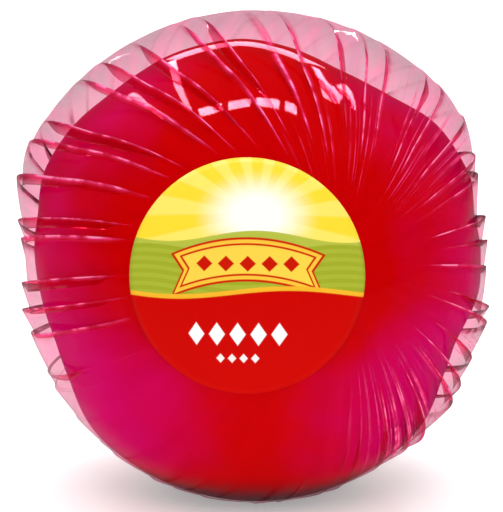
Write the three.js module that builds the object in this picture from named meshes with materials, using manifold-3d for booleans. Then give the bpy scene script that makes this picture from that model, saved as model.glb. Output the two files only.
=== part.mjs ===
// A ball of cheese in a wax coat, wrapped in glossy film.
// One sheet of film lies tight over the face of the ball, is laid in knife pleats round its sides,
// and is gathered at the back. A round paper label sticks on the film over the face.
// Millimetres, +Z up, the face towards -Y, standing on a small flat spot under the ball.
import * as THREE from "three";
import { mergeVertices } from "three/addons/utils/BufferGeometryUtils.js";
import Module from "manifold-3d";

const wasm = await Module();
wasm.setup();

// Driving dimensions of the ball
const BALL_WIDTH = 146; // over the film where it lies tight, from side to side
const BALL_HEIGHT = 148; // before the flat spot is pressed into it
const BALL_DEPTH = 140; // a moulded ball is a little flatter from face to back
const BALL_CENTRE = new THREE.Vector3(0.83, -0.91, 71.2);

// Driving dimensions of the film
const FACE_AZIMUTH = 20.4; // where the smooth middle of the film points, from -Y towards +X
const FACE_ELEVATION = 13.4;
const PLEATS_PER_SIDE = 23;
const PLEAT_HEIGHT = 2.2; // a free edge above the film beside it
const FREE_EDGE_SHARE = 0.08; // how much of a pleat's width its steep free edge takes
const TOP_SLACK = 10; // how far the loose film stands off the top of the ball
const SIDE_SLACK = 0.6;
const TIGHT_UP_TO = 60; // degrees from the middle of the label
const LOOSE_FROM = 88;
const SLACK_TILT = 0.1; // the loose top leans towards -X
const PRESSED_TILT = 0.25; // the pleats reach lower on the side of +X
const GATHER_DEPTH = 5; // the dimple where all pleats meet at the back
const BUTTON_HEIGHT = 3.5; // the film's ends, pressed into a knob in the middle of the dimple
const SEED = 7;

// Driving dimensions of the label
const LABEL_DIAMETER = 74.5; // across its rim, as it lies on the ball
const LABEL_AZIMUTH = -2.5;
const LABEL_ELEVATION = 11.5;
const LABEL_THICKNESS = 0.5;
const LABEL_GAP = 0.3;

// How finely the surfaces are drawn
const FACE_BANDS = [18, 34]; // degrees from the middle of the face
const SIDE_BANDS = Array.from({ length: 15 }, (_, i) => 42 + 7.5 * i);
const BACK_BANDS = [153, 158, 163, 167, 171, 174, 177];
const PLEAT_STEPS = [0.02, 0.4, 0.75, 1 - FREE_EDGE_SHARE];
const LABEL_RINGS = 6;
const LABEL_SECTORS = 60;

const radians = THREE.MathUtils.degToRad;
const smooth = THREE.MathUtils.smoothstep;

// A unit vector from an azimuth, from -Y towards +X, and an elevation.
function pointing(azimuth, elevation) {
  const a = radians(azimuth);
  const e = radians(elevation);
  return new THREE.Vector3(Math.cos(e) * Math.sin(a), -Math.cos(e) * Math.cos(a), Math.sin(e));
}

// Three axes round a pole: the pole, the way up from it and the way to the right of it.
function axesRound(pole) {
  const right = new THREE.Vector3().crossVectors(new THREE.Vector3(0, 0, 1), pole).normalize();
  return { pole, up: new THREE.Vector3().crossVectors(pole, right), right };
}

// The unit vector at an angle from the pole and a turn from straight up towards the right.
function around({ pole, up, right }, angle, turn) {
  return new THREE.Vector3()
    .addScaledVector(pole, Math.cos(angle))
    .addScaledVector(up, Math.sin(angle) * Math.cos(turn))
    .addScaledVector(right, Math.sin(angle) * Math.sin(turn));
}

const face = axesRound(pointing(FACE_AZIMUTH, FACE_ELEVATION));
const label = axesRound(pointing(LABEL_AZIMUTH, LABEL_ELEVATION));
const LABEL_ANGLE = Math.asin(LABEL_DIAMETER / (BALL_WIDTH + BALL_HEIGHT) * 2);

// The ball without any slack or pleats: its radius in one direction.
function tightRadius(n) {
  return 0.5 / Math.hypot(n.x / BALL_WIDTH, n.y / BALL_DEPTH, n.z / BALL_HEIGHT);
}

// Loose film stands off the top and, less, off the sides. It is tight all round the label and below.
function slack(n) {
  const loose = smooth(n.angleTo(label.pole), radians(TIGHT_UP_TO), radians(LOOSE_FROM));
  const top = TOP_SLACK * smooth(n.z - SLACK_TILT * n.x, 0.1, 0.62);
  const side = SIDE_SLACK * smooth(n.z, -0.9, -0.4);
  return loose * Math.max(top, side);
}

// The gather: how far the film sinks where all pleats meet, less the knob of its ends.
function dimple(n) {
  const fromFace = n.angleTo(face.pole);
  const sunk = GATHER_DEPTH * smooth(fromFace, radians(162), radians(174));
  return sunk - BUTTON_HEIGHT * smooth(fromFace, radians(172), radians(177));
}

// Pleats start past the face, are flat under the label and low under the ball, and narrow to the gather.
function pleatRise(n) {
  const fromFace = n.angleTo(face.pole);
  const start = smooth(fromFace, radians(36), radians(68));
  const clearOfLabel = smooth(n.angleTo(label.pole), LABEL_ANGLE + 0.02, LABEL_ANGLE + 0.2);
  const end = Math.min(1, Math.sin(fromFace) * 1.6);
  const pressed = 0.2 + 0.8 * smooth(n.z + PRESSED_TILT * n.x, -0.75, -0.45);
  return PLEAT_HEIGHT * start * clearOfLabel * end * pressed;
}

// A small generator of repeatable random numbers from 0 to 1.
function randomFrom(seed) {
  let state = seed;
  return () => {
    state = (state * 1664525 + 1013904223) % 4294967296;
    return state / 4294967296;
  };
}

// The columns of the film mesh round the face: where each stands, and how high it is on its pleat.
// On both sides of the ball every pleat has its free edge at its upper end.
function pleatColumns() {
  const random = randomFrom(SEED);
  const columns = [];
  for (const side of [1, -1]) {
    const widths = Array.from({ length: PLEATS_PER_SIDE }, () => 0.7 + 0.6 * random());
    const whole = widths.reduce((sum, w) => sum + w, 0);
    let upper = 0;
    for (const share of widths) {
      const width = share / whole * Math.PI;
      const height = 0.55 + 0.75 * random();
      for (const step of PLEAT_STEPS) {
        const turn = side * (upper + (1 - step) * width);
        columns.push({ turn: (turn + 2 * Math.PI) % (2 * Math.PI), rise: height * step ** 1.5 });
      }
      upper += width;
    }
  }
  return columns.sort((a, b) => a.turn - b.turn);
}

// A geometry from a list of vectors and a list of triangles.
function geometryOf(points, triangles) {
  const geometry = new THREE.BufferGeometry();
  const numbers = points.flatMap((point) => point.toArray());
  geometry.setAttribute("position", new THREE.Float32BufferAttribute(numbers, 3));
  geometry.setIndex(triangles);
  return geometry;
}

// A closed grid of rings between two poles, as in a globe. rings[i][j] is point j of ring i.
function globe(firstPole, rings, lastPole) {
  const sectors = rings[0].length;
  const points = [firstPole, ...rings.flat(), lastPole];
  const at = (ring, sector) => 1 + ring * sectors + sector % sectors;
  const triangles = [];
  for (let j = 0; j < sectors; j += 1) {
    triangles.push(0, at(0, j + 1), at(0, j));
    for (let i = 0; i + 1 < rings.length; i += 1) {
      triangles.push(at(i, j), at(i, j + 1), at(i + 1, j + 1));
      triangles.push(at(i, j), at(i + 1, j + 1), at(i + 1, j));
    }
    triangles.push(points.length - 1, at(rings.length - 1, j), at(rings.length - 1, j + 1));
  }
  return geometryOf(points, triangles);
}

// A closed geometry as a solid that can be cut, and back.
function solidOf(geometry) {
  const bare = geometry.clone();
  bare.deleteAttribute("normal");
  bare.deleteAttribute("uv");
  const merged = mergeVertices(bare);
  return new wasm.Manifold(new wasm.Mesh({
    numProp: 3,
    vertProperties: merged.attributes.position.array,
    triVerts: new Uint32Array(merged.index.array),
  }));
}

function geometryFrom(solid) {
  const mesh = solid.getMesh();
  const geometry = new THREE.BufferGeometry();
  geometry.setAttribute("position", new THREE.BufferAttribute(mesh.vertProperties, 3));
  geometry.setIndex(new THREE.BufferAttribute(mesh.triVerts, 1));
  return geometry;
}

// The outer form of the wrapped ball, with its flat spot cut at the height of the ground.
function wrappedBall() {
  const columns = pleatColumns();
  const surface = (angle, turn, rise) => {
    const n = around(face, angle, turn);
    const radius = tightRadius(n) + slack(n) + rise * pleatRise(n) - dimple(n);
    return n.multiplyScalar(radius).add(BALL_CENTRE);
  };
  const bands = [...FACE_BANDS, ...SIDE_BANDS, ...BACK_BANDS];
  const rings = bands.map((band) => columns.map(({ turn, rise }) => surface(radians(band), turn, rise)));
  const whole = globe(surface(0, 0, 0), rings, surface(Math.PI, 0, 0));
  const below = new THREE.BoxGeometry(2 * BALL_WIDTH, 2 * BALL_WIDTH, BALL_HEIGHT);
  below.translate(0, 0, -BALL_HEIGHT / 2);
  return geometryFrom(solidOf(whole).subtract(solidOf(below)));
}

// A thin round label that follows the ball over its face.
function roundLabel() {
  const surface = (ring, sector, lift) => {
    const n = around(label, LABEL_ANGLE * ring / LABEL_RINGS, 2 * Math.PI * sector / LABEL_SECTORS);
    return n.multiplyScalar(tightRadius(n) + LABEL_GAP + lift).add(BALL_CENTRE);
  };
  const ringAt = (ring, lift) =>
    Array.from({ length: LABEL_SECTORS }, (_, sector) => surface(ring, sector, lift));
  const outer = Array.from({ length: LABEL_RINGS }, (_, i) => ringAt(i + 1, LABEL_THICKNESS));
  const inner = Array.from({ length: LABEL_RINGS }, (_, i) => ringAt(LABEL_RINGS - i, 0));
  return globe(surface(0, 0, LABEL_THICKNESS), [...outer, ...inner], surface(0, 0, 0));
}

const ball = new THREE.Mesh(
  wrappedBall(),
  new THREE.MeshStandardMaterial({ color: "#c4001c", roughness: 0.12, metalness: 0 }),
);
ball.name = "wrapped_ball";

const paper = new THREE.Mesh(
  roundLabel(),
  new THREE.MeshStandardMaterial({ color: "#d20a05", roughness: 0.4, metalness: 0 }),
);
paper.name = "round_label";

const cheese = new THREE.Group();
cheese.add(ball, paper);

export default cheese;
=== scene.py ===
import math

import bmesh
import bpy
from mathutils import Matrix, Vector, noise


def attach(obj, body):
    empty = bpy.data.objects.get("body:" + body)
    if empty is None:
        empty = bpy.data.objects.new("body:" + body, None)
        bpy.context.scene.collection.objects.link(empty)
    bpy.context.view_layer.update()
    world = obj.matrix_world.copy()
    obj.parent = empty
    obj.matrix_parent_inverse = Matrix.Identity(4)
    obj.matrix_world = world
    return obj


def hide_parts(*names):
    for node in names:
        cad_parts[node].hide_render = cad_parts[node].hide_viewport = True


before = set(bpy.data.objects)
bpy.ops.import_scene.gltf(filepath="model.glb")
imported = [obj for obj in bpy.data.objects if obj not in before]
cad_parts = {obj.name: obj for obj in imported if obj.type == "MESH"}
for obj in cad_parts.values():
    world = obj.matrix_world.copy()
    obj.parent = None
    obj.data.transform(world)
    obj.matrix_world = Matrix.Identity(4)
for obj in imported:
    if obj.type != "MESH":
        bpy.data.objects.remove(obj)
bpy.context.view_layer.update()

MM = 0.001


# The cheese
# A moulded ball of pressed cheese, dipped in red paraffin wax. The wax coat is under a millimetre
# thick, so ball and coat are one piece: a ball a little flatter from face to back, uneven by a
# fraction of a millimetre, with a flat spot where its weight rests.
BALL_SIZE = Vector((146, 140, 148)) * MM
BALL_CENTRE = Vector((0.83, -0.91, 71.2)) * MM
FILM_CLEARANCE = 0.3 * MM
WAX_UNEVENNESS = 0.35 * MM
WAX_SWELL_LENGTH = 30 * MM
WAX_MOTTLE = 22 * MM
WAX_GRAIN = 2.5 * MM
LOWER_SIDES_INSET = 4.5 * MM
UPPER_SIDES_SWELL = 3.4 * MM
TOP_SWELL = 2.8 * MM
TOP_RIGHT_INSET = 2.0 * MM
GATHER_HOLLOW = 5.6 * MM
GATHER_POLE = Vector((-0.3391, 0.9118, -0.2317))  # straight behind the middle of the film's face
HOLLOW_FROM, HOLLOW_FULL = math.cos(math.radians(22)), math.cos(math.radians(7))
SLACK_FILLED = 0.9  # of the room under the loose film, at most
WAX_SUBDIVISIONS = 60

# Where the film over the ball is tight and where it is slack, since the wax has to stay inside it.
# Angles are from the middle of the label, and heights are those on a ball of radius 1.
LABEL_AZIMUTH, LABEL_ELEVATION = math.radians(-2.5), math.radians(11.5)
TIGHT_UP_TO, LOOSE_FROM = math.radians(60), math.radians(88)
TOP_SLACK, TOP_SLACK_FROM, TOP_SLACK_FULL = 10 * MM, 0.1, 0.62
SLACK_TILT = 0.1  # the loose top leans towards -X
SIDE_SLACK, SIDE_SLACK_FROM, SIDE_SLACK_FULL = 0.6 * MM, -0.9, -0.4

# The nodes that calculate, and the five inputs of a Mix node between its factor and its two colours.
CALC, VECTOR, RANGE = "ShaderNodeMath", "ShaderNodeVectorMath", "ShaderNodeMapRange"
TO_COLOURS = [None] * 5


def linear(hex_colour):
    """An sRGB hex colour as the linear RGBA that Blender's sockets take."""
    channels = [int(hex_colour[i:i + 2], 16) / 255 for i in (1, 3, 5)]
    return [c / 12.92 if c <= 0.04045 else ((c + 0.055) / 1.055) ** 2.4 for c in channels] + [1.0]


def add(tree, kind, *sources, **settings):
    """Adds a node, sets its settings, and fills its inputs in order from nodes, sockets or values."""
    node = tree.nodes.new(kind)
    for name, value in settings.items():
        setattr(node, name, value)
    for socket, source in zip(node.inputs, sources):
        if isinstance(source, bpy.types.Node):
            source = source.outputs[0]
        if isinstance(source, bpy.types.NodeSocket):
            tree.links.new(source, socket)
        elif source is not None:
            socket.default_value = source
    return node


def bare_material(name):
    """A new material and its node tree, with no node in it yet."""
    material = bpy.data.materials.new(name)
    material.use_nodes = True
    material.node_tree.nodes.clear()
    return material, material.node_tree


def piece_from(name, mesh):
    """A new object for a finished mesh, smooth shaded, at the origin."""
    piece = bpy.data.objects.new(name, mesh)
    bpy.context.scene.collection.objects.link(piece)
    mesh.polygons.foreach_set("use_smooth", [True] * len(mesh.polygons))
    return piece


def pointing(azimuth, elevation):
    """The unit vector at an azimuth, from -Y towards +X, and an elevation."""
    level = math.cos(elevation)
    return Vector((level * math.sin(azimuth), -level * math.cos(azimuth), math.sin(elevation)))


def tight_radius(direction):
    """How far the ball's surface, with the film tight on it, is from its centre in a direction."""
    scaled = Vector(d / s for d, s in zip(direction, BALL_SIZE))
    return 0.5 / scaled.length


def smooth_step(x, low, high):
    """0 below low, 1 above high, and smooth in between."""
    t = min(max((x - low) / (high - low), 0), 1)
    return t * t * (3 - 2 * t)


def slack_room(direction):
    """How far the loose film stands off the ball in a direction, without its pleats."""
    loose = smooth_step(direction.angle(label_pole), TIGHT_UP_TO, LOOSE_FROM)
    height = direction.z - SLACK_TILT * direction.x
    top = TOP_SLACK * smooth_step(height, TOP_SLACK_FROM, TOP_SLACK_FULL)
    side = SIDE_SLACK * smooth_step(direction.z, SIDE_SLACK_FROM, SIDE_SLACK_FULL)
    return loose * max(top, side)


label_pole = pointing(LABEL_AZIMUTH, LABEL_ELEVATION)

ball = bmesh.new()
bmesh.ops.create_cube(ball, size=2)
bmesh.ops.subdivide_edges(ball, edges=ball.edges[:], cuts=WAX_SUBDIVISIONS, use_grid_fill=True)
for vertex in ball.verts:
    turned = Vector(math.tan(c * math.pi / 4) for c in vertex.co).normalized()
    swell = WAX_UNEVENNESS * noise.noise(turned * BALL_SIZE.x / 2 / WAX_SWELL_LENGTH)
    radius = tight_radius(turned) - FILM_CLEARANCE - abs(swell)
    # It is narrower at its lower sides.
    low_side = smooth_step(abs(turned.x), 0.62, 0.97)
    low_side *= smooth_step(turned.z, 0.14 - 0.14 * turned.x, -0.34)
    low_side *= smooth_step(turned.z, -0.8, -0.45)
    radius -= LOWER_SIDES_INSET * low_side
    # It is fuller at its upper sides and on top, as far as the film has room for it.
    high_side = smooth_step(abs(turned.x), 0.45, 0.85)
    high_side *= smooth_step(turned.z, 0.12 - 0.12 * turned.x, 0.46)
    fuller = UPPER_SIDES_SWELL * high_side * smooth_step(turned.y, -0.45, 0)
    fuller += TOP_SWELL * smooth_step(turned.z, 0.72, 0.95) * smooth_step(turned.x, 0.25, -0.1)
    fuller *= smooth_step(turned.angle(label_pole), TIGHT_UP_TO, math.pi / 2)
    radius += min(fuller, SLACK_FILLED * slack_room(turned))
    # It slopes off at the top right, and is pressed in where the film is gathered behind it.
    radius -= TOP_RIGHT_INSET * smooth_step(turned.x, 0.15, 0.4) * smooth_step(turned.z, 0.6, 0.8)
    radius -= GATHER_HOLLOW * smooth_step(turned.dot(GATHER_POLE), HOLLOW_FROM, HOLLOW_FULL)
    vertex.co = BALL_CENTRE + turned * radius
    vertex.co.z = max(vertex.co.z, FILM_CLEARANCE)
wax_mesh = bpy.data.meshes.new("waxed_cheese")
ball.to_mesh(wax_mesh)
ball.free()
cheese = piece_from("waxed_cheese", wax_mesh)

# Paraffin wax, dipped: a smooth satin coat with a soft shine and a fine grain. It is plain red over
# the face. Round the sides and the back it turns unevenly to a cooler magenta red, a painted reflection
# of the bright table and backdrop seen through the pink film, and a painted shadow darkens its foot.
wax, tree = bare_material("paraffin_wax_dipped")
place = add(tree, "ShaderNodeTexCoord").outputs["Object"]
from_centre = add(tree, VECTOR, place, tuple(BALL_CENTRE), operation="SUBTRACT")
outward = add(tree, VECTOR, from_centre, operation="NORMALIZE")
height = add(tree, "ShaderNodeSeparateXYZ", outward).outputs["Z"]

# How far a point is past the plain red: from the middle of the face, sideways or to the back, less
# how wide the red is at that height.
aside = add(tree, VECTOR, outward, (0.01, 0.0, 0.0), operation="SUBTRACT")
aside = add(tree, VECTOR, aside, (-2.0, 0.0, -2.0), operation="MAXIMUM")
aside = add(tree, VECTOR, aside, (1.0, 1.0, 0.0), operation="MULTIPLY")
aside = add(tree, VECTOR, aside, operation="LENGTH").outputs["Value"]
red_width = add(tree, RANGE, height, -0.35, 0.12, 0.42, 0.93, interpolation_type="SMOOTHSTEP")
narrower = add(tree, RANGE, height, 0.45, 0.95, 0, 0.4)
red_width = add(tree, CALC, red_width, narrower, operation="SUBTRACT")
beyond = add(tree, CALC, aside, red_width, operation="SUBTRACT")
mottle = add(tree, "ShaderNodeTexNoise", place)
mottle.inputs["Scale"].default_value = 1 / WAX_MOTTLE
mottle.inputs["Detail"].default_value = 3
uneven = add(tree, RANGE, mottle, 0.3, 0.7, -0.08, 0.08)
beyond = add(tree, CALC, beyond, uneven, operation="ADD")
# Painted reflection: past the plain red the wax turns magenta, standing in for the bright table and
# backdrop mirrored through the pink film. It stops above the foot, where the table is in shade.
painted_reflection = add(tree, RANGE, beyond, -0.36, 0.31, 0, 1, interpolation_type="SMOOTHSTEP")
above_foot = add(tree, RANGE, height, -0.88, -0.66, 0, 1, interpolation_type="SMOOTHSTEP")
painted_reflection = add(tree, CALC, painted_reflection, above_foot, operation="MULTIPLY")
reds = [linear("#CC0004"), linear("#D20088")]
with_painted_reflection = add(tree, "ShaderNodeMix", painted_reflection, *TO_COLOURS, *reds, data_type="RGBA").outputs[2]
# Painted shadow: the wax darkens to a deep red towards its foot, where it rests in shade on the table.
painted_foot_shade = add(tree, RANGE, height, -0.76, -0.93, 0, 1, interpolation_type="SMOOTHSTEP")
colour = add(tree, "ShaderNodeMix", painted_foot_shade, *TO_COLOURS, with_painted_reflection, linear("#600004"), data_type="RGBA")
grain = add(tree, "ShaderNodeTexNoise", place)
grain.inputs["Scale"].default_value = 1 / WAX_GRAIN
bump = add(tree, "ShaderNodeBump")
bump.inputs["Strength"].default_value = 0.12
bump.inputs["Distance"].default_value = 0.1 * MM
tree.links.new(grain.outputs[0], bump.inputs["Height"])
surface = add(tree, "ShaderNodeBsdfPrincipled")
surface.inputs["Roughness"].default_value = 0.4
surface.inputs["IOR"].default_value = 1.43
surface.inputs["Specular IOR Level"].default_value = 0.0
surface.inputs["Coat Weight"].default_value = 0.1
surface.inputs["Coat Roughness"].default_value = 0.035
tree.links.new(colour.outputs[2], surface.inputs["Base Color"])
tree.links.new(bump.outputs[0], surface.inputs["Normal"])
add(tree, "ShaderNodeOutputMaterial", surface)
wax_mesh.materials.append(wax)

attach(cheese, "root")
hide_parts("wrapped_ball")


# The film
# One sheet of cellophane, tinted red. It lies tight over the face of the ball, is folded into knife
# pleats that run like the segments of an orange from the face to the back, and is gathered there.
# Each pleat's free edge laps over the next one's start, so three layers lie over each other there.
PLEATS_PER_SIDE = 23
STEPS_PER_PLEAT = 15
FILM_ROWS = 110
MERGE_DISTANCE = 0.004 * MM
STREAK_FINENESS, CREASE_FINENESS = 15.0, 60.0
ALONG_STREAKS = 2.5  # how much a streak changes from the face to the back
FOLD_PATCH = 7 * MM
CRINKLE = 9 * MM

# Angles from the middle of the face: where the pleats start and how slowly they grow, how far before
# them their folds are marked, and where the gather at the back and the knob in it start and are full.
PLEATS_START, START_VARIES, PLEATS_GROW_OVER = math.radians(34), math.radians(4), math.radians(30)
MARKS_LEAD, MARKS_GROW_OVER = math.radians(3), math.radians(9)
GATHER_FROM, GATHER_FULL = math.radians(162), math.radians(174)
KNOB_FROM, KNOB_FULL = math.radians(172), math.radians(177)

FACE_AZIMUTH, FACE_ELEVATION = math.radians(20.4), math.radians(13.4)
face_pole = pointing(FACE_AZIMUTH, FACE_ELEVATION)
face_right = Vector((0, 0, 1)).cross(face_pole).normalized()
face_up = face_pole.cross(face_right)

# The label, which the film is smooth under, and how far from its middle folds stand off the wax.
LABEL_DIAMETER = 74.5 * MM
LABEL_ANGLE = math.asin(LABEL_DIAMETER / (BALL_SIZE.x + BALL_SIZE.z) * 2)
STANDS_OFF_FROM, STANDS_OFF_FULL = math.radians(70), math.radians(84)

# Cellophane, cast and dyed: a thin clear film that tints what is behind it pink. It is greyer where it
# hangs loose, and deeper edge on, in streaks along the pleats and where film is turned in behind a
# fold. It mirrors lamps sharply. Pale pink lines in patches along its folds, where they rest on the wax,
# and along fine creases are painted highlights, for glints of the creased film. Where the folds stand
# off the wax they are dark.
film, tree = bare_material("cellophane_dyed_red")
place = add(tree, "ShaderNodeTexCoord").outputs["Object"]
edge_on = add(tree, "ShaderNodeLayerWeight", 0.5).outputs["Facing"]
deeper = add(tree, RANGE, edge_on, 0.9, 1.0, 0, 1, interpolation_type="SMOOTHSTEP")
from_centre = add(tree, VECTOR, place, tuple(BALL_CENTRE), operation="SUBTRACT")
outward = add(tree, VECTOR, from_centre, operation="NORMALIZE")

# Noise drawn out along the lines from the face to the back, coarse for streaks and fine for creases.
spoke = [add(tree, VECTOR, outward, tuple(axis), operation="DOT_PRODUCT").outputs["Value"]
         for axis in (face_up, face_right)]
spoke = add(tree, "ShaderNodeCombineXYZ", *spoke)
spoke = add(tree, VECTOR, spoke, operation="NORMALIZE")
along_it = add(tree, VECTOR, outward, tuple(face_pole * ALONG_STREAKS), operation="MULTIPLY")
lines = []
for fineness in (STREAK_FINENESS, CREASE_FINENESS):
    line = add(tree, VECTOR, spoke, None, None, fineness, operation="SCALE")
    line = add(tree, VECTOR, line, along_it, operation="ADD")
    line = add(tree, "ShaderNodeTexNoise", line)
    line.inputs["Scale"].default_value = 1
    line.inputs["Detail"].default_value = 2
    lines.append(line)
streaks = add(tree, RANGE, lines[0], 0.42, 0.7, 0, 0.6)

# Creases finer than a pleat, in two zones right of the face: low, and above. Each zone lies between
# limits of X and Z, in front of the ball's sides and clear of the smooth middle of the face.
at = add(tree, "ShaderNodeSeparateXYZ", outward).outputs
ahead = add(tree, VECTOR, outward, tuple(face_pole), operation="DOT_PRODUCT").outputs["Value"]
before = ((at["Y"], 0.0, -0.15), (ahead, 0.95, 0.86))
zones = []
for amount, limits in (
    (0.6, ((at["X"], 0.35, 0.6), (at["Z"], -0.12, -0.36), (at["Z"], -0.9, -0.75), *before)),
    (0.45, ((at["X"], 0.1, 0.35), (at["Z"], 0.36, 0.54), (at["Z"], 0.86, 0.74), *before)),
):
    zone = add(tree, RANGE, lines[1], 0.57, 0.66, 0, amount)
    for reach, start, end in limits:
        within = add(tree, RANGE, reach, start, end, 0, 1)
        zone = add(tree, CALC, zone, within, operation="MULTIPLY")
    zones.append(zone)
creases = add(tree, CALC, *zones, operation="ADD")

# The tint, from the plain film's to those of its darker places, one over the other.
# The marks kept on the sheet. The one along the folds' free edges places painted highlights.
loose_film, turned_in, doubled_edge, fold_highlight = [
    add(tree, "ShaderNodeAttribute", attribute_name=name).outputs["Fac"]
    for name in ("loose_film", "turned_in", "doubled_edge", "fold_highlight")]
patches = add(tree, "ShaderNodeTexNoise", place)
patches.inputs["Scale"].default_value = 1 / FOLD_PATCH
patches = add(tree, RANGE, patches, 0.38, 0.6, 0.15, 1.0)
darkened = add(tree, CALC, patches, 0.5, operation="MAXIMUM")
darkened = add(tree, CALC, doubled_edge, darkened, operation="MULTIPLY")
tint = linear("#F8C8D6")
for amount, value in ((loose_film, "#D2BEC4"), (deeper, "#C83860"), (streaks, "#F2AEC8"),
                      (turned_in, "#FA7AA0"), (darkened, "#5A0A26")):
    tint = add(tree, "ShaderNodeMix", amount, *TO_COLOURS, tint, linear(value), data_type="RGBA")
    tint = tint.outputs[2]
clear = add(tree, "ShaderNodeBsdfTransparent", tint)
crinkle = add(tree, "ShaderNodeTexNoise", place)
crinkle.inputs["Scale"].default_value = 1 / CRINKLE
crinkle.inputs["Detail"].default_value = 4
bump = add(tree, "ShaderNodeBump")
bump.inputs["Strength"].default_value = 0.3
bump.inputs["Distance"].default_value = 0.3 * MM
tree.links.new(crinkle.outputs[0], bump.inputs["Height"])
mirror = add(tree, "ShaderNodeBsdfAnisotropic", linear("#FFDCE6"))
mirror.inputs["Roughness"].default_value = 0.05
tree.links.new(bump.outputs[0], mirror.inputs["Normal"])
mirrored = add(tree, RANGE, edge_on, 0.55, 1.0, 0.0, 0.11, interpolation_type="SMOOTHSTEP")
surface = add(tree, "ShaderNodeMixShader", mirrored, clear, mirror)

# Painted highlights: along folds and creases the film scatters pale pink light instead, shaded as if it
# faced straight out from the ball, and the strongest are the palest.
glint_amount = add(tree, CALC, fold_highlight, creases, operation="MAXIMUM")
glint_amount = add(tree, CALC, glint_amount, patches, operation="MULTIPLY")
palest = add(tree, RANGE, glint_amount, 0.45, 0.8, 0, 1)
pinks = [linear("#FF4484"), linear("#FF88B4")]
highlight_pink = add(tree, "ShaderNodeMix", palest, *TO_COLOURS, *pinks, data_type="RGBA").outputs[2]
painted_highlight = add(tree, "ShaderNodeBsdfDiffuse", highlight_pink, None, outward)
glint_amount = add(tree, CALC, glint_amount, 1.5, operation="MULTIPLY", use_clamp=True)
surface = add(tree, "ShaderNodeMixShader", glint_amount, surface, painted_highlight)
add(tree, "ShaderNodeOutputMaterial", surface)

# The sheet itself: a flat grid, whose length is laid round the face and whose width runs from the
# face to the back. Nothing in it is random: what looks uneven comes from sines and a fixed noise.
wrap = bpy.data.node_groups.new("pleated_wrap", "GeometryNodeTree")
wrap.interface.new_socket("Geometry", in_out="OUTPUT", socket_type="NodeSocketGeometry")
WRAP_SIZES = {
    "Pleats per side": ("NodeSocketInt", PLEATS_PER_SIDE),
    "Pleat height": ("NodeSocketFloat", 2.2 * MM),
    "Lap": ("NodeSocketFloat", 0.26),
    "Top slack": ("NodeSocketFloat", TOP_SLACK),
    "Side slack": ("NodeSocketFloat", SIDE_SLACK),
    "Gather depth": ("NodeSocketFloat", 5 * MM),
    "Knob height": ("NodeSocketFloat", 3.5 * MM),
    "Waviness": ("NodeSocketFloat", 0.3 * MM),
    "Crown lift": ("NodeSocketFloat", 1.4 * MM),
}
for name, (kind, _) in WRAP_SIZES.items():
    wrap.interface.new_socket(name, in_out="INPUT", socket_type=kind)
sizes = add(wrap, "NodeGroupInput").outputs
sheet = add(wrap, "GeometryNodeMeshGrid", 2, 1, 2 * PLEATS_PER_SIDE * STEPS_PER_PLEAT + 1, FILM_ROWS + 1)
flat = add(wrap, "ShaderNodeSeparateXYZ", add(wrap, "GeometryNodeInputPosition"))

# Where a point of the sheet is: which side, which pleat counted from the top, and how far along it.
# The rows lie further apart over the smooth middle of the face.
across = flat.outputs["X"]
left = add(wrap, CALC, across, 0, operation="LESS_THAN")
side = add(wrap, CALC, left, -2, 1, operation="MULTIPLY_ADD")
counted = add(wrap, CALC, across, operation="ABSOLUTE")
counted = add(wrap, CALC, counted, sizes["Pleats per side"], operation="MULTIPLY")
pleat = add(wrap, CALC, counted, operation="FLOOR")
evenly = add(wrap, CALC, counted, pleat, operation="SUBTRACT")
down = add(wrap, CALC, flat.outputs["Y"], 0.5, operation="ADD")
rows = add(wrap, "ShaderNodeFloatCurve", 1.0, down)
curve = rows.mapping.curves[0]
for point, value in zip(curve.points, ((0, 0), (1, 1))):
    point.location = value
for value in ((0.1, 0.19), (0.24, 0.3)):
    curve.points.new(*value)
rows.mapping.update()
angle = add(wrap, CALC, rows, math.pi, operation="MULTIPLY")


def section(source, *points):
    """A curve of straight pieces through the points."""
    node = add(wrap, "ShaderNodeFloatCurve", 1.0, source)
    line = node.mapping.curves[0]
    for point, value in zip(line.points, (points[0], points[-1])):
        point.location = value
    for value in points[1:-1]:
        line.points.new(*value)
    for point in line.points:
        point.handle_type = "VECTOR"
    node.mapping.update()
    return node


# How far along its pleat a point is, with the points closer together where the sheet folds.
along = section(evenly, (0, 0), (0.067, 0.022), (0.133, 0.055), (0.2, 0.11), (0.8, 0.82), (0.867, 0.9),
                (0.933, 0.96), (1, 1))


def uneven_sine(pace, phase, number):
    """A number from -1 to 1 for a pleat, from a rule that looks uneven, and 0 at the top and the foot."""
    from_end = add(wrap, CALC, sizes["Pleats per side"], number, operation="SUBTRACT")
    inner = add(wrap, CALC, number, from_end, operation="MINIMUM")
    inner = add(wrap, CALC, inner, 1, operation="MINIMUM")
    turned = add(wrap, CALC, number, pace, phase, operation="MULTIPLY_ADD")
    turned = add(wrap, CALC, side, 1.3, turned, operation="MULTIPLY_ADD")
    return add(wrap, CALC, add(wrap, CALC, turned, operation="SINE"), inner, operation="MULTIPLY")


def direction_at(turn):
    """The outward unit vector at this row's angle from the face and a turn round it."""
    sine = add(wrap, CALC, angle, operation="SINE")
    up = add(wrap, CALC, add(wrap, CALC, turn, operation="COSINE"), sine, operation="MULTIPLY")
    right = add(wrap, CALC, add(wrap, CALC, turn, operation="SINE"), sine, operation="MULTIPLY")
    ahead = add(wrap, CALC, angle, operation="COSINE")
    total = None
    for axis, amount in ((face_pole, ahead), (face_up, up), (face_right, right)):
        part = add(wrap, VECTOR, tuple(axis), None, None, amount, operation="SCALE")
        total = part if total is None else add(wrap, VECTOR, total, part, operation="ADD")
    return total


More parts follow.
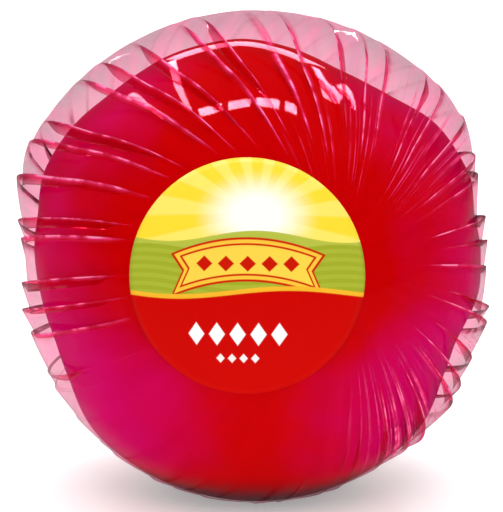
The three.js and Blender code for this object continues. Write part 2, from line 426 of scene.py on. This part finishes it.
following = add(wrap, CALC, pleat, 1, operation="ADD")
starts = [add(wrap, CALC, uneven_sine(2.4, 0.7, number), 0.24, number, operation="MULTIPLY_ADD")
          for number in (pleat, following)]
width = add(wrap, CALC, starts[1], starts[0], operation="SUBTRACT")
half_turn = add(wrap, CALC, math.pi, sizes["Pleats per side"], operation="DIVIDE")
half_turn = add(wrap, CALC, half_turn, side, operation="MULTIPLY")


def turn_at(share):
    """The turn round the face at a share of this pleat's width from its free edge."""
    place = add(wrap, CALC, width, share, starts[0], operation="MULTIPLY_ADD")
    return add(wrap, CALC, place, half_turn, operation="MULTIPLY")


# How much of a pleat there is at a point. Pleats start past the face, are flat under the label,
# narrow towards the gather, are pressed low under the ball and quite flat at the front there, the
# chin, and are low over the crown at the back.
level = direction_at(turn_at(along))
at = add(wrap, "ShaderNodeSeparateXYZ", level).outputs
late = add(wrap, CALC, uneven_sine(2.9, 0.2, pleat), START_VARIES, PLEATS_START, operation="MULTIPLY_ADD")
full = add(wrap, CALC, late, PLEATS_GROW_OVER, operation="ADD")
started = add(wrap, RANGE, angle, late, full, 0, 1, interpolation_type="SMOOTHSTEP")
from_label = add(wrap, VECTOR, level, tuple(label_pole), operation="DOT_PRODUCT").outputs["Value"]
from_label = add(wrap, CALC, from_label, operation="ARCCOSINE")
clear_of_label = add(wrap, RANGE, from_label, LABEL_ANGLE + 0.02, LABEL_ANGLE + 0.2, 0, 1,
                     interpolation_type="SMOOTHSTEP")
narrowing = add(wrap, CALC, add(wrap, CALC, angle, operation="SINE"), 1.6, operation="MULTIPLY")
narrowing = add(wrap, CALC, narrowing, 1, operation="MINIMUM")
tilted = add(wrap, CALC, at["X"], 0.25, at["Z"], operation="MULTIPLY_ADD")
pressed = add(wrap, RANGE, tilted, -0.75, -0.45, 0.2, 1, interpolation_type="SMOOTHSTEP")
chin = add(wrap, RANGE, at["Z"], 0.0, -0.25, 0, 1, interpolation_type="SMOOTHSTEP")
in_front = add(wrap, RANGE, at["Y"], -0.4, -0.72, 0, 1, interpolation_type="SMOOTHSTEP")
chin = add(wrap, CALC, chin, in_front, operation="MULTIPLY")
chin = add(wrap, CALC, chin, add(wrap, RANGE, at["X"], 0.55, 0.3, 0, 1), operation="MULTIPLY")
smooth_chin = add(wrap, CALC, 1, chin, operation="SUBTRACT")
pressed = add(wrap, CALC, pressed, smooth_chin, operation="MULTIPLY")
crown = add(wrap, CALC, at["X"], operation="ABSOLUTE")
crown = add(wrap, CALC, crown, 0.35, at["Z"], operation="MULTIPLY_ADD")
crown = add(wrap, RANGE, crown, 0.7, 0.86, 0, 0.9, interpolation_type="SMOOTHSTEP")
to_back = add(wrap, RANGE, at["Y"], -0.1, 0.12, 0, 1, interpolation_type="SMOOTHSTEP")
crown = add(wrap, CALC, crown, to_back, operation="MULTIPLY")
smooth_crown = add(wrap, CALC, 1, crown, operation="SUBTRACT")
fold = add(wrap, CALC, started, clear_of_label, operation="MULTIPLY")
for amount in (narrowing, pressed, smooth_crown):
    fold = add(wrap, CALC, fold, amount, operation="MULTIPLY")


def crest(number):
    """How high a pleat's free edge stands, as a share of the full height. It varies along the edge."""
    own = add(wrap, CALC, uneven_sine(1.7, 2.1, number), 0.34, 0.95, operation="MULTIPLY_ADD")
    phase = add(wrap, CALC, number, 2.2, operation="MULTIPLY")
    phase = add(wrap, CALC, angle, 3.1, phase, operation="MULTIPLY_ADD")
    ripple = add(wrap, CALC, phase, operation="SINE")
    return add(wrap, CALC, ripple, 0.16, own, operation="MULTIPLY_ADD")


# The cross-section of a pleat, along the sheet from its own free edge to the next one's. The sheet
# falls from its own edge, runs on under the next pleat, turns back there and rises to that edge.
TURNS_BACK_AT = 0.8
lapped = section(along, (0, 0), (TURNS_BACK_AT, 1), (1, 0))
own_share = section(along, (0, 1), (0.03, 0.96), (0.15, 0.78), (0.35, 0.48), (0.6, 0.16),
                    (TURNS_BACK_AT, 0), (1, 0))
next_share = section(along, (0, 0), (TURNS_BACK_AT, 0), (0.9, 0.45), (1, 1))
lap = add(wrap, CALC, sizes["Lap"], 1 - TURNS_BACK_AT, operation="ADD")
lap = add(wrap, CALC, lap, add(wrap, CALC, fold, 0.8, operation="POWER"), operation="MULTIPLY")
share = add(wrap, CALC, lapped, lap, along, operation="MULTIPLY_ADD")
outward = direction_at(turn_at(share))
rise = add(wrap, CALC, crest(pleat), own_share, operation="MULTIPLY")
rise = add(wrap, CALC, crest(following), next_share, rise, operation="MULTIPLY_ADD")
rise = add(wrap, CALC, rise, fold, operation="MULTIPLY")
rise = add(wrap, CALC, rise, sizes["Pleat height"], operation="MULTIPLY")

# The sheet without its pleats: the ball's form, slack on top and a little at the sides, waves where
# it is loose, the gather at the back with the knob of the sheet's ends in its middle, and a small
# lift over the crown, where the pleats are low.
scaled = add(wrap, VECTOR, outward, tuple(BALL_SIZE), operation="DIVIDE")
scaled = add(wrap, VECTOR, scaled, operation="LENGTH").outputs["Value"]
radius = add(wrap, CALC, 0.5, scaled, operation="DIVIDE")
lapped_at = add(wrap, "ShaderNodeSeparateXYZ", outward).outputs
top = add(wrap, CALC, lapped_at["X"], -SLACK_TILT, lapped_at["Z"], operation="MULTIPLY_ADD")
top = add(wrap, RANGE, top, TOP_SLACK_FROM, TOP_SLACK_FULL, 0, 1, interpolation_type="SMOOTHSTEP")
top_slack = add(wrap, CALC, top, sizes["Top slack"], operation="MULTIPLY")
side_slack = add(wrap, RANGE, lapped_at["Z"], SIDE_SLACK_FROM, SIDE_SLACK_FULL, 0, 1,
                 interpolation_type="SMOOTHSTEP")
side_slack = add(wrap, CALC, side_slack, sizes["Side slack"], operation="MULTIPLY")
from_label = add(wrap, VECTOR, outward, tuple(label_pole), operation="DOT_PRODUCT").outputs["Value"]
from_label = add(wrap, CALC, from_label, operation="ARCCOSINE")
loose = add(wrap, RANGE, from_label, TIGHT_UP_TO, LOOSE_FROM, 0, 1, interpolation_type="SMOOTHSTEP")
slack = add(wrap, CALC, top_slack, side_slack, operation="MAXIMUM")
slack = add(wrap, CALC, slack, loose, operation="MULTIPLY")
waves = add(wrap, "ShaderNodeTexNoise", outward)
waves.inputs["Scale"].default_value = 3.2
waves.inputs["Detail"].default_value = 2
waves = add(wrap, CALC, add(wrap, CALC, waves, 0.5, operation="SUBTRACT"), 2, operation="MULTIPLY")
waves = add(wrap, CALC, waves, sizes["Waviness"], operation="MULTIPLY")
waves = add(wrap, CALC, waves, add(wrap, CALC, top, loose, operation="MULTIPLY"), operation="MULTIPLY")
sunk = add(wrap, RANGE, angle, GATHER_FROM, GATHER_FULL, 0, 1, interpolation_type="SMOOTHSTEP")
sunk = add(wrap, CALC, sunk, sizes["Gather depth"], operation="MULTIPLY")
knob = add(wrap, RANGE, angle, KNOB_FROM, KNOB_FULL, 0, 1, interpolation_type="SMOOTHSTEP")
knob = add(wrap, CALC, knob, sizes["Knob height"], operation="MULTIPLY")
dimple = add(wrap, CALC, knob, sunk, operation="SUBTRACT")
crown_lift = add(wrap, CALC, 1, smooth_crown, operation="SUBTRACT")
crown_lift = add(wrap, CALC, crown_lift, sizes["Crown lift"], operation="MULTIPLY")
for amount in (slack, rise, waves, dimple, crown_lift):
    radius = add(wrap, CALC, radius, amount, operation="ADD")
place = add(wrap, VECTOR, outward, None, None, radius, operation="SCALE")
place = add(wrap, VECTOR, place, tuple(BALL_CENTRE), operation="ADD")
place = add(wrap, VECTOR, place, (-1.0, -1.0, 0.0), operation="MAXIMUM")

# What the material shows, kept on the sheet: painted highlights along folds where the film rests on the
# wax and dark folds where it stands off it, film turned in behind a fold or gathered, and loose film.
# Folds are marked from just before a pleat starts up to the gather, and not where the pleats are
# pressed flat.
begun = add(wrap, CALC, late, MARKS_LEAD, operation="SUBTRACT")
begun = add(wrap, CALC, angle, begun, operation="SUBTRACT")
begun = add(wrap, RANGE, begun, 0, MARKS_GROW_OVER, 0, 1, interpolation_type="SMOOTHSTEP")
before_gather = add(wrap, RANGE, angle, math.radians(178), math.radians(170), 0, 1)
shown = add(wrap, RANGE, tilted, -0.62, -0.3, 0, 1, interpolation_type="SMOOTHSTEP")
shown = add(wrap, CALC, shown, smooth_chin, operation="MULTIPLY")
for amount in (clear_of_label, before_gather, shown, smooth_crown):
    begun = add(wrap, CALC, begun, amount, operation="MULTIPLY")
standing_off = add(wrap, RANGE, from_label, STANDS_OFF_FROM, STANDS_OFF_FULL, 0, 1,
                   interpolation_type="SMOOTHSTEP")
resting = add(wrap, CALC, 1, standing_off, operation="SUBTRACT")
# Painted highlight along each pleat's free edge, where the film rests on the wax.
fold_highlight = section(along, (0, 1), (0.022, 0.8), (0.055, 0.15), (0.11, 0), (0.96, 0), (1, 1))
fold_highlight = add(wrap, CALC, fold_highlight, resting, operation="MULTIPLY")
doubled_edge = section(along, (0, 1), (0.055, 1), (0.11, 0.25), (0.2, 0), (0.9, 0), (0.96, 1), (1, 1))
doubled_edge = add(wrap, CALC, doubled_edge, standing_off, operation="MULTIPLY")
turned_in = section(along, (0, 0), (0.022, 0.2), (0.055, 0.8), (0.11, 0), (0.89, 0), (0.925, 0.9),
                    (0.965, 0.9), (1, 0))
gathered = add(wrap, RANGE, angle, math.radians(160), GATHER_FULL, 0, 0.8, interpolation_type="SMOOTHSTEP")
turned_in = add(wrap, CALC, turned_in, gathered, operation="MAXIMUM")
kept = [(name, add(wrap, CALC, amount, begun, operation="MULTIPLY")) for name, amount in (
    ("fold_highlight", fold_highlight), ("doubled_edge", doubled_edge), ("turned_in", turned_in))]
marked = sheet
for name, amount in (*kept, ("loose_film", standing_off)):
    marked = add(wrap, "GeometryNodeStoreNamedAttribute", marked)
    marked.inputs["Name"].default_value = name
    wrap.links.new(amount.outputs[0], marked.inputs["Value"])
shaped = add(wrap, "GeometryNodeSetPosition", marked, None, place)
closed = add(wrap, "GeometryNodeMergeByDistance", shaped)
closed.inputs["Distance"].default_value = MERGE_DISTANCE
smoothed = add(wrap, "GeometryNodeSetShadeSmooth", closed)
real = add(wrap, "GeometryNodeRealizeInstances", smoothed)
painted = add(wrap, "GeometryNodeSetMaterial", real)
painted.inputs["Material"].default_value = film
add(wrap, "NodeGroupOutput", painted)

blank = bpy.data.objects.new("film_maker", bpy.data.meshes.new("film_maker"))
bpy.context.scene.collection.objects.link(blank)
modifier = blank.modifiers.new("pleats", "NODES")
modifier.node_group = wrap
for item in wrap.interface.items_tree:
    if item.in_out == "INPUT":
        modifier[item.identifier] = WRAP_SIZES[item.name][1]
evaluated = blank.evaluated_get(bpy.context.evaluated_depsgraph_get())
film_mesh = bpy.data.meshes.new_from_object(evaluated)
film_mesh.name = "film"
blank.modifiers.clear()
bpy.data.objects.remove(blank)
wrapper = piece_from("film", film_mesh)

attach(wrapper, "root")
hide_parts("wrapped_ball")


# The label
# A round label of coated paper, glued on the film over the face. It is cut round, follows the ball,
# and is printed in flat colours: a sunrise over fields, a plain banner and rows of lozenges.
LABEL_RINGS = 20
LABEL_SECTORS = 120
LABEL_GAP = 0.12 * MM
LABEL_THICKNESS = 0.22 * MM

label_right = Vector((0, 0, 1)).cross(label_pole).normalized()
label_up = label_pole.cross(label_right)
paper = bmesh.new()
print_map = paper.loops.layers.uv.new("print")


def label_point(ring, sector, lift):
    """A point of the label, and its place in the print, from 0 to 1 across the label."""
    reach = ring / LABEL_RINGS
    turn = 2 * math.pi * sector / LABEL_SECTORS
    n = label_pole * math.cos(LABEL_ANGLE * reach)
    n += math.sin(LABEL_ANGLE * reach) * (math.cos(turn) * label_up + math.sin(turn) * label_right)
    print_place = (0.5 + reach * math.sin(turn) / 2, 0.5 + reach * math.cos(turn) / 2)
    return BALL_CENTRE + n * (tight_radius(n) + LABEL_GAP + lift), print_place


prints = {}
layers = []
for lift in (LABEL_THICKNESS, 0):
    rings = []
    for ring in range(LABEL_RINGS + 1):
        sectors = range(LABEL_SECTORS if ring else 1)
        points = []
        for sector in sectors:
            co, uv = label_point(ring, sector, lift)
            vertex = paper.verts.new(co)
            prints[vertex] = uv
            points.append(vertex)
        rings.append(points)
    layers.append(rings)
for rings, flip in zip(layers, (False, True)):
    for ring in range(LABEL_RINGS):
        for j in range(LABEL_SECTORS):
            k = (j + 1) % LABEL_SECTORS
            corners = [rings[ring + 1][j], rings[ring + 1][k]]
            corners += [rings[ring][k], rings[ring][j]] if ring else [rings[0][0]]
            paper.faces.new(corners if flip else corners[::-1])
for j in range(LABEL_SECTORS):
    k = (j + 1) % LABEL_SECTORS
    paper.faces.new([layers[0][-1][j], layers[0][-1][k], layers[1][-1][k], layers[1][-1][j]])
bmesh.ops.recalc_face_normals(paper, faces=paper.faces[:])
for face in paper.faces:
    for loop in face.loops:
        loop[print_map].uv = prints[loop.vert]
label_mesh = bpy.data.meshes.new("label")
paper.to_mesh(label_mesh)
paper.free()
label = piece_from("label", label_mesh)

# Printed label paper: coated, so the inks are even, flat and only a little glossy.
# Sizes in the print are in millimetres, from the middle of the label.
PRINT_SIZE = LABEL_DIAMETER / MM
INK_EDGE = 0.15
ink, tree = bare_material("printed_label_paper")
mapped = add(tree, "ShaderNodeUVMap", uv_map="print")
mapped = add(tree, "ShaderNodeMapping", mapped, (-PRINT_SIZE / 2, -PRINT_SIZE / 2, 0), None,
             (PRINT_SIZE, PRINT_SIZE, 1))
mapped = add(tree, "ShaderNodeSeparateXYZ", mapped)
x, y = mapped.outputs["X"], mapped.outputs["Y"]


def inside(amount, limit=0):
    """1 where an amount in millimetres is over a limit, with an edge as soft as printed ink."""
    return add(tree, RANGE, amount, limit - INK_EDGE, limit + INK_EDGE, 0, 1)


def printed(under, mask, colour):
    """An ink laid over the print so far, where the mask is 1. Both may be a hex colour or a print."""
    inks = [linear(value) if isinstance(value, str) else value for value in (under, colour)]
    return add(tree, "ShaderNodeMix", mask, *TO_COLOURS, *inks, data_type="RGBA").outputs[2]


def above_wave(base, swing, length, phase):
    """How far a point is above a gentle wave across the label."""
    wave = add(tree, CALC, x, 1 / length, phase, operation="MULTIPLY_ADD")
    wave = add(tree, CALC, wave, operation="SINE")
    wave = add(tree, CALC, wave, swing, base, operation="MULTIPLY_ADD")
    return add(tree, CALC, y, wave, operation="SUBTRACT")


def lozenges(middle, spacing, count, wide, high):
    """A row of lozenges: how far a point is inside the nearest one."""
    reach = spacing * count / 2
    start = add(tree, CALC, x, reach - middle[0], operation="ADD")
    cell = add(tree, CALC, start, spacing, operation="MODULO")
    cell = add(tree, CALC, add(tree, CALC, cell, spacing / 2, operation="SUBTRACT"), operation="ABSOLUTE")
    from_line = add(tree, CALC, add(tree, CALC, y, middle[1], operation="SUBTRACT"), operation="ABSOLUTE")
    total = add(tree, CALC, cell, 1 / wide, operation="MULTIPLY")
    total = add(tree, CALC, from_line, 1 / high, total, operation="MULTIPLY_ADD")
    total = add(tree, CALC, 1, total, operation="SUBTRACT")
    mask = inside(add(tree, CALC, total, min(wide, high), operation="MULTIPLY"))
    sideways = add(tree, CALC, add(tree, CALC, x, middle[0], operation="SUBTRACT"), operation="ABSOLUTE")
    ends = add(tree, CALC, reach, sideways, operation="SUBTRACT")
    return add(tree, CALC, mask, inside(ends), operation="MULTIPLY")


# The picture: a sunrise with rays over two rolling fields, the near one in furrows.
SUN = (3.0, 19.0)
RAYS = 15
sun_x = add(tree, CALC, x, SUN[0], operation="SUBTRACT")
sun_y = add(tree, CALC, y, SUN[1], operation="SUBTRACT")
turn = add(tree, CALC, sun_y, sun_x, operation="ARCTAN2")
ray = add(tree, CALC, add(tree, CALC, turn, RAYS, operation="MULTIPLY"), operation="SINE")
ray = add(tree, RANGE, ray, -0.25, 0.25, 0, 0.55)
sky = printed("#FFD935", ray, "#FFEB80")
squared = add(tree, CALC, sun_x, 1.35, operation="DIVIDE")
squared = add(tree, CALC, squared, squared, operation="MULTIPLY")
from_sun = add(tree, CALC, sun_y, sun_y, squared, operation="MULTIPLY_ADD")
from_sun = add(tree, CALC, from_sun, operation="SQRT")
glow = add(tree, RANGE, from_sun, 15, 4, 0, 1, interpolation_type="SMOOTHSTEP")
sky = printed(sky, glow, "#FFFEF2")
picture = printed("#B4BC45", inside(above_wave(12.5, 1.6, 8.5, 1.2)), sky)
above_near = above_wave(8.5, 1.8, 10.0, -1.4)
furrows = add(tree, CALC, add(tree, CALC, above_near, 2.4, operation="MULTIPLY"), operation="SINE")
furrows = add(tree, RANGE, furrows, -0.2, 0.2, 0, 0.5)
near_field = printed("#9FAB2C", furrows, "#B3BB3F")
picture = printed(near_field, inside(above_near), picture)

# A plain banner across the fields, arched a little, with a red line inside its rim and red lozenges.
BANNER_MIDDLE = (0.5, 4.2)
BANNER_HALF = (22.0, 6.0)
BANNER_ARCH = 0.009
BANNER_RED = "#C81806"
banner_x = add(tree, CALC, x, BANNER_MIDDLE[0], operation="SUBTRACT")
banner_y = add(tree, CALC, banner_x, banner_x, operation="MULTIPLY")
banner_y = add(tree, CALC, banner_y, BANNER_ARCH, y, operation="MULTIPLY_ADD")
banner_y = add(tree, CALC, banner_y, BANNER_MIDDLE[1] + 1.2, operation="SUBTRACT")
banner_y = add(tree, CALC, banner_y, operation="ABSOLUTE")
into_height = add(tree, CALC, BANNER_HALF[1], banner_y, operation="SUBTRACT")
into_length = add(tree, CALC, banner_x, operation="ABSOLUTE")
into_length = add(tree, CALC, BANNER_HALF[0], into_length, operation="SUBTRACT")
notch = add(tree, CALC, banner_y, 0.55, into_length, operation="MULTIPLY_ADD")
notch = add(tree, CALC, notch, 2.6, operation="SUBTRACT")
into_banner = add(tree, CALC, into_height, notch, operation="MINIMUM")
picture = printed(picture, inside(into_banner, -0.7), BANNER_RED)
picture = printed(picture, inside(into_banner), "#F8C43E")
picture = printed(picture, inside(into_banner, 1.1), BANNER_RED)
picture = printed(picture, inside(into_banner, 1.7), "#FBD04A")
marks = lozenges((BANNER_MIDDLE[0], BANNER_MIDDLE[1] - 0.1), 6.6, 5, 2.5, 2.4)
picture = printed(picture, marks, BANNER_RED)

# Below the picture the label is red, with two rows of white lozenges and a gold wave between them.
picture_foot = above_wave(-4.0, 1.4, 11.5, 0.4)
plain = printed("#C80602", lozenges((-2.5, -17.5), 6.4, 5, 2.5, 3.6), "#FAF6F4")
plain = printed(plain, lozenges((-2.5, -25.2), 3.6, 4, 1.3, 1.5), "#F6E9E6")
colours = printed(plain, inside(picture_foot, -1.4), "#F3B52E")
colours = printed(colours, inside(picture_foot), picture)
surface = add(tree, "ShaderNodeBsdfPrincipled", colours)
surface.inputs["Roughness"].default_value = 0.4
surface.inputs["Specular IOR Level"].default_value = 0.02
add(tree, "ShaderNodeOutputMaterial", surface)
label_mesh.materials.append(ink)

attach(label, "root")
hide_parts("round_label")


# The studio
# A plain white table under soft white lights, and a camera a little above the ball, in front of it.
# The table glows a little, so that it stays as white as what is behind the ball.
FLOOR_HALF = 3.0
floor_mesh = bpy.data.meshes.new("floor")
floor_mesh.from_pydata(
    [(x, y, 0) for x, y in ((-FLOOR_HALF, -FLOOR_HALF), (FLOOR_HALF, -FLOOR_HALF),
                            (FLOOR_HALF, FLOOR_HALF), (-FLOOR_HALF, FLOOR_HALF))],
    [], [(0, 1, 2, 3)])
floor = bpy.data.objects.new("floor", floor_mesh)
bpy.context.scene.collection.objects.link(floor)
white = bpy.data.materials.new("white_table_laminate")
white.use_nodes = True
base = white.node_tree.nodes["Principled BSDF"]
base.inputs["Base Color"].default_value = linear("#F7F7F7")
base.inputs["Roughness"].default_value = 0.6
base.inputs["Specular IOR Level"].default_value = 0.1
base.inputs["Emission Color"].default_value = (1, 1, 1, 1)
base.inputs["Emission Strength"].default_value = 0.34
floor_mesh.materials.append(white)


def soft_light(name, place, aim, size, radiance, lights, mirrored):
    """A rectangular soft light turned to a point. It lights matt surfaces, shows in gloss, or both."""
    lamp = bpy.data.lights.new(name, "AREA")
    lamp.shape = "RECTANGLE"
    lamp.size, lamp.size_y = size
    lamp.energy = radiance * size[0] * size[1] * math.pi
    holder = bpy.data.objects.new(name, lamp)
    holder.location = place
    holder.rotation_euler = (Vector(aim) - Vector(place)).to_track_quat("-Z", "Y").to_euler()
    holder.visible_diffuse = lights
    holder.visible_glossy = mirrored
    bpy.context.scene.collection.objects.link(holder)


ball_middle = (0, 0, 0.075)
soft_light("key_box", (0.1, -1.5, 1.5), ball_middle, (1.6, 1.2), 2.4, True, False)
soft_light("top_box", (0, 0.4, 2.6), (0, 0.4, 0), (2.6, 2.6), 2.1, True, False)


def tube_light(name, start, end, width, radiance, mirrors=None):
    """A long thin light between two points, turned to the ball, that only shows in gloss.

    Where mirrors is a piece, it shows in that piece alone."""
    start, end = Vector(start), Vector(end)
    centre = (start + end) / 2
    soft_light(name, centre, ball_middle, ((end - start).length, width), radiance, False, True)
    holder = bpy.data.objects[name]
    long_way = (end - start).normalized()
    away = (centre - Vector(ball_middle)).normalized()
    away = (away - long_way * away.dot(long_way)).normalized()
    turned = Matrix((long_way, away.cross(long_way), away)).transposed()
    holder.rotation_euler = turned.to_euler()
    if mirrors:
        only = bpy.data.collections.new("mirrors_of_" + name)
        only.objects.link(mirrors)
        holder.light_linking.receiver_collection = only


# A rectangle of tubes over and behind the ball, which the wax and the film mirror as a bright frame.
# Its near side is a row of short tubes.
NEAR_TUBES, NEAR_LENGTH, NEAR_SPACING = 4, 0.165, 0.205
tube_light("tube_far", (-0.23, 0.964, 0.443), (0.252, 0.913, 0.494), 0.2, 70, cheese)
for number in range(NEAR_TUBES):
    start = Vector((-0.4 + NEAR_SPACING * number, 0.21, 1.157))
    tube_light(f"tube_near_{number + 1}", start, start + Vector((NEAR_LENGTH, 0, 0)), 0.12, 300)
tube_light("tube_left", (-0.242, 0.92, 0.478), (-0.43, 0.29, 1.08), 0.03, 150, cheese)
tube_light("tube_right", (0.29, 0.876, 0.522), (0.516, 0.563, 0.818), 0.03, 150)
tube_light("tube_outer_left", (-0.487, 0.844, 0.55), (-0.62, 0.349, 1.02), 0.03, 120)

# The studio is dark on the camera's side and bright behind the ball.
world = bpy.data.worlds.new("studio")
world.use_nodes = True
tree = world.node_tree
backdrop = tree.nodes["Background"]
backwards = add(tree, "ShaderNodeSeparateXYZ", add(tree, "ShaderNodeTexCoord")).outputs["Y"]
brightness = add(tree, RANGE, backwards, -0.3, 0.6, 0.3, 1.0)
tree.links.new(brightness.outputs[0], backdrop.inputs["Strength"])
backdrop.inputs["Color"].default_value = (1, 1, 1, 1)
scene = bpy.context.scene
scene.world = world
scene.view_settings.view_transform = "Standard"
scene.cycles.use_denoising = True
scene.cycles.transparent_max_bounces = 32

CAMERA_ELEVATION = math.radians(12)
CAMERA_DISTANCE = 1.1
LOOK_AT = Vector((-0.5, 0, 77)) * MM
FRAME_LONG_SIDE = 512
PIXELS_PER_MM = 3.09
camera = bpy.data.cameras.new("camera")
camera.sensor_width = 36
camera.lens = camera.sensor_width * CAMERA_DISTANCE / (FRAME_LONG_SIDE / PIXELS_PER_MM * MM)
camera.clip_end = 20
viewer = bpy.data.objects.new("camera", camera)
towards_viewer = pointing(0, CAMERA_ELEVATION)
viewer.location = LOOK_AT + towards_viewer * CAMERA_DISTANCE
viewer.rotation_euler = (-towards_viewer).to_track_quat("-Z", "Y").to_euler()
scene.collection.objects.link(viewer)
scene.camera = viewer
